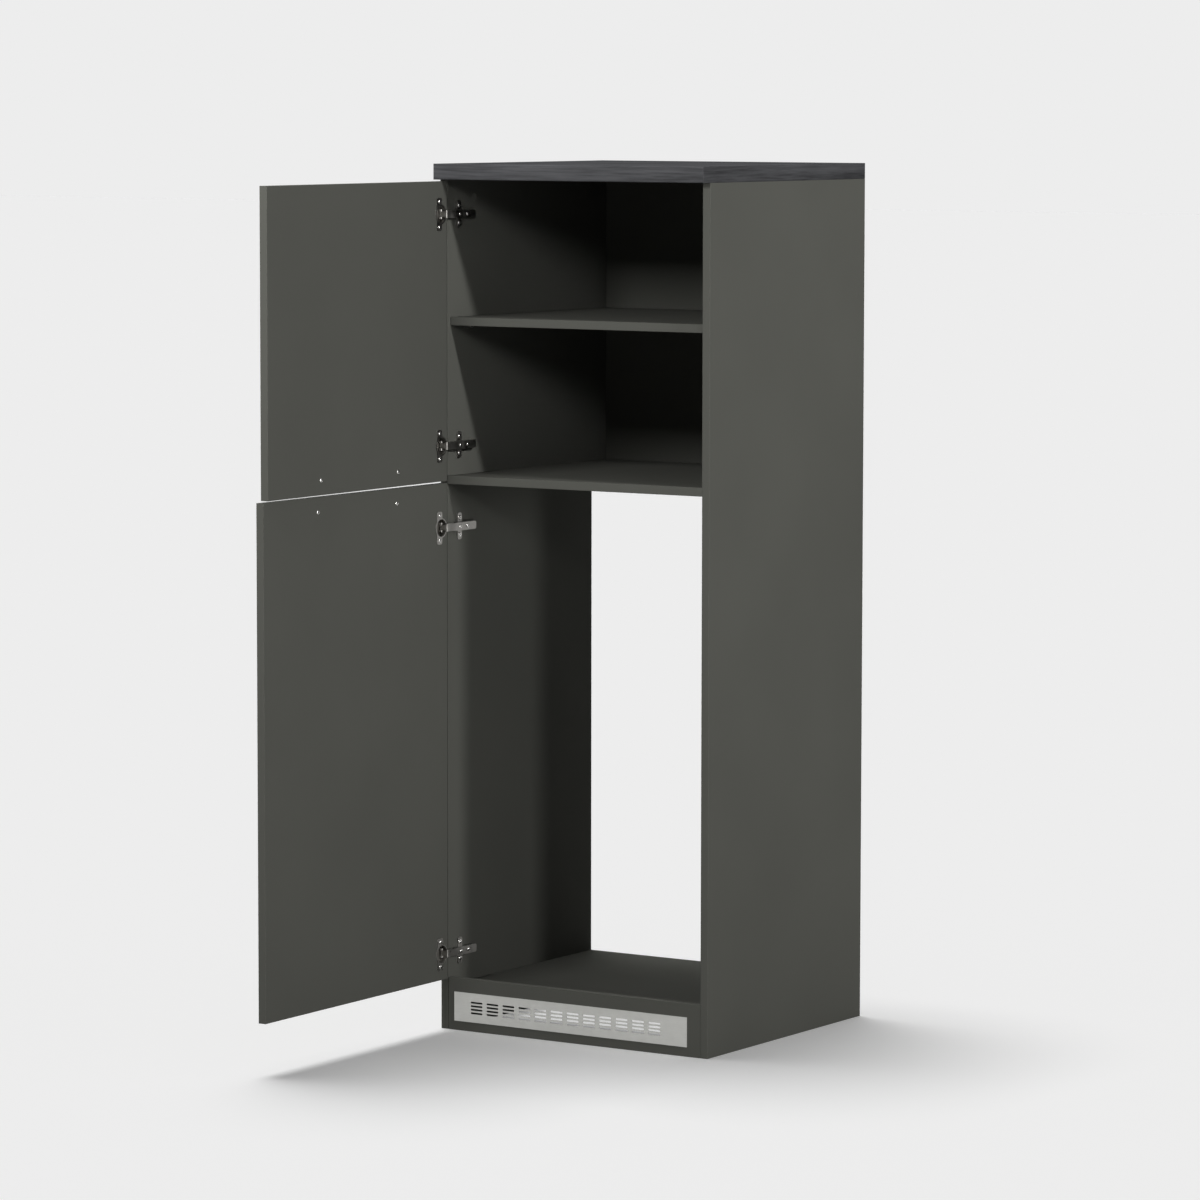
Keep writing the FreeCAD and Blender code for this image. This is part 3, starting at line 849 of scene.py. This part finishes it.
cam_count = dress_cams("floor_panel_cams", -axis_z) + dress_cams("fixed_shelf_cams", -axis_z)
soften_node("top_board_cam_caps", cap_plastic)
print(cam_count, "cams made")

# %% [markdown]
# Pins, dowels and bolts
# The hinge pins hardly show, but they are worked metal too, so they get the same softened edges as
# the hinges. The dowels, the connecting bolts and the capped cams stay hidden in the boards and their
# round shapes are right, so the nodes stay as they are and only get their finish.

# %% Finishes of the hidden pieces
for hinge in hinges:
    soften_node(hinge + "_pin", screw_steel)
hidden_finish = {"_dowels": beech, "_connecting_bolts": screw_steel, "top_board_cams": zinc}
finished = 0
for node, cad_object in frame["nodes"].items():
    for ending, material in hidden_finish.items():
        if node.endswith(ending):
            cad_object.data.materials.clear()
            cad_object.data.materials.append(material)
            finished += 1
print(finished, "nodes finished in place")

# %% [markdown]
# Lamps
# The photograph shows where its light comes from. Bright wedges on the left panel, under the top and
# under the shelf, point to a light from the right, well above the cabinet. A straight shadow line
# halfway along the niche's left wall points to a low one from the right front, but above the niche
# the wall darkens slowly. The floor has a short, soft shadow, from a light above. One strong lamp
# can't give all this, so there are several, and light linking tells each what to light. Only the
# light from above falls on the open floor, so that its tone stays even, and the light from the right
# reaches the left panel as spots of its own. The suns from the left and from behind are for the sides
# that the photograph doesn't show.


# %% Lamp helpers
def add_lamp(name, kind, strength, place, target):
    """A lamp at a place, turned to a target; suns only take the direction from it."""
    data = bpy.data.lights.new(name, kind)
    data.energy = strength
    lamp = bpy.data.objects.new(name, data)
    turn = (place - target).to_track_quat("Z", "Y").to_matrix().to_4x4()
    lamp.matrix_world = Matrix.Translation(place) @ turn
    lamp.visible_camera = False
    scene.collection.objects.link(lamp)
    return lamp


def link_light(lamp, objects, state):
    """Light only these objects, or everything but these: the state is INCLUDE or EXCLUDE."""
    group = bpy.data.collections.new(lamp.name + "_link")
    for item in objects:
        group.objects.link(item)
    for entry in group.collection_objects:
        entry.light_linking.link_state = state
    lamp.light_linking.receiver_collection = group


# %% Suns
left_panel = bpy.data.objects["left_side_panel_look"]
back_panel = bpy.data.objects["upper_back_panel_look"]
floor_panel = bpy.data.objects["floor_panel_look"]
plinth = bpy.data.objects["plinth_board_look"]
origin = Vector((0, 0, 0))

# Name, strength, direction to the sun, its width in degrees, and what it leaves out.
suns = (
    ("low_right_sun", 0.52, Vector((0.568, -0.316, 0.035)), 3.0, (floor, left_panel)),
    ("low_front_sun", 0.36, Vector((0.0, -1.0, 0.08)), 10.0, (floor, back_panel)),
    ("left_sun", 1.3, Vector((-1.0, 0.05, 0.12)), 20.0, (floor,)),
    ("rear_sun", 1.2, Vector((-0.35, 0.90, 0.15)), 20.0, (floor, floor_panel, plinth)),
    ("overhead_sun", overhead_strength, overhead_from, overhead_angle, ()),
)
for name, strength, direction, angle, left_out in suns:
    lamp = add_lamp(name, "SUN", strength, direction, origin)
    lamp.data.angle = math.radians(angle)
    if left_out:
        link_light(lamp, left_out, "EXCLUDE")
print(len(suns), "suns")

# %% Softboxes
softbox_target = Vector((0.0, 0.0, 1.0))

# Name, power, place, width of the square, and what it leaves out.
softboxes = (
    ("key_softbox", 110.0, Vector((4.00, -0.50, 2.55)), 0.30, (floor, left_panel)),
    ("front_softbox", 42.0, Vector((-0.25, -2.20, 2.50)), 0.50, (floor,)),
)
for name, power, place, size, left_out in softboxes:
    lamp = add_lamp(name, "AREA", power, place, softbox_target)
    lamp.data.size = size
    link_light(lamp, left_out, "EXCLUDE")
print(len(softboxes), "softboxes")

# %% Spots on the left panel
# Name, power, place, target, cone in degrees, softness of the cone's edge, and radius of the source.
spots = (
    ("wedge_spot", 295.0, Vector((2.60, -0.512, 2.72)), Vector((-0.284, 0.05, 1.88)),
     30.0, 0.05, 0.07),
    ("strip_spot", 175.0, Vector((3.00, -0.263, 1.30)), Vector((-0.284, 0.03, -0.22)),
     40.0, 0.05, 0.12),
    ("niche_spot", 43.0, Vector((1.60, -0.732, 0.30)), Vector((-0.284, 0.15, 0.085)),
     50.0, 0.05, 0.08),
    ("shelf_spot", 290.0, Vector((1.65, -1.80, 2.10)), Vector((-0.284, 0.05, 1.42)),
     13.0, 1.0, 0.45),
)
for name, power, place, target, cone, blend, radius in spots:
    lamp = add_lamp(name, "SPOT", power, place, target)
    lamp.data.spot_size = math.radians(cone)
    lamp.data.spot_blend = blend
    lamp.data.shadow_soft_size = radius
    link_light(lamp, (left_panel,), "INCLUDE")
print(len(spots), "spots")

# %% [markdown]
# Behind the grille
# Through the slots of the grille the photograph shows a pale floor, although the floor panel shades
# it. A flat lamp under that panel, which lights the floor alone and only straight below it, stands
# for the light that gets in there.

# %% Light behind the grille
plinth_lamp_power = 0.20
plinth_lamp_depth = 0.32
plinth_lamp_drop = 0.015
plinth_lamp_width = 0.50
plinth_lamp_length = 0.28
plinth_lamp_spread = math.radians(60.0)

panel_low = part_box("floor_panel")[0]
under_panel = Vector((0.0, plinth_lamp_depth, panel_low.z - plinth_lamp_drop))
plinth_lamp = add_lamp("plinth_lamp", "AREA", plinth_lamp_power, under_panel, under_panel - axis_z)
plinth_lamp.data.shape = "RECTANGLE"
plinth_lamp.data.size = plinth_lamp_width
plinth_lamp.data.size_y = plinth_lamp_length
plinth_lamp.data.spread = plinth_lamp_spread
link_light(plinth_lamp, (floor,), "INCLUDE")
print("a lamp at", round(under_panel.z, 3), "under the floor panel")
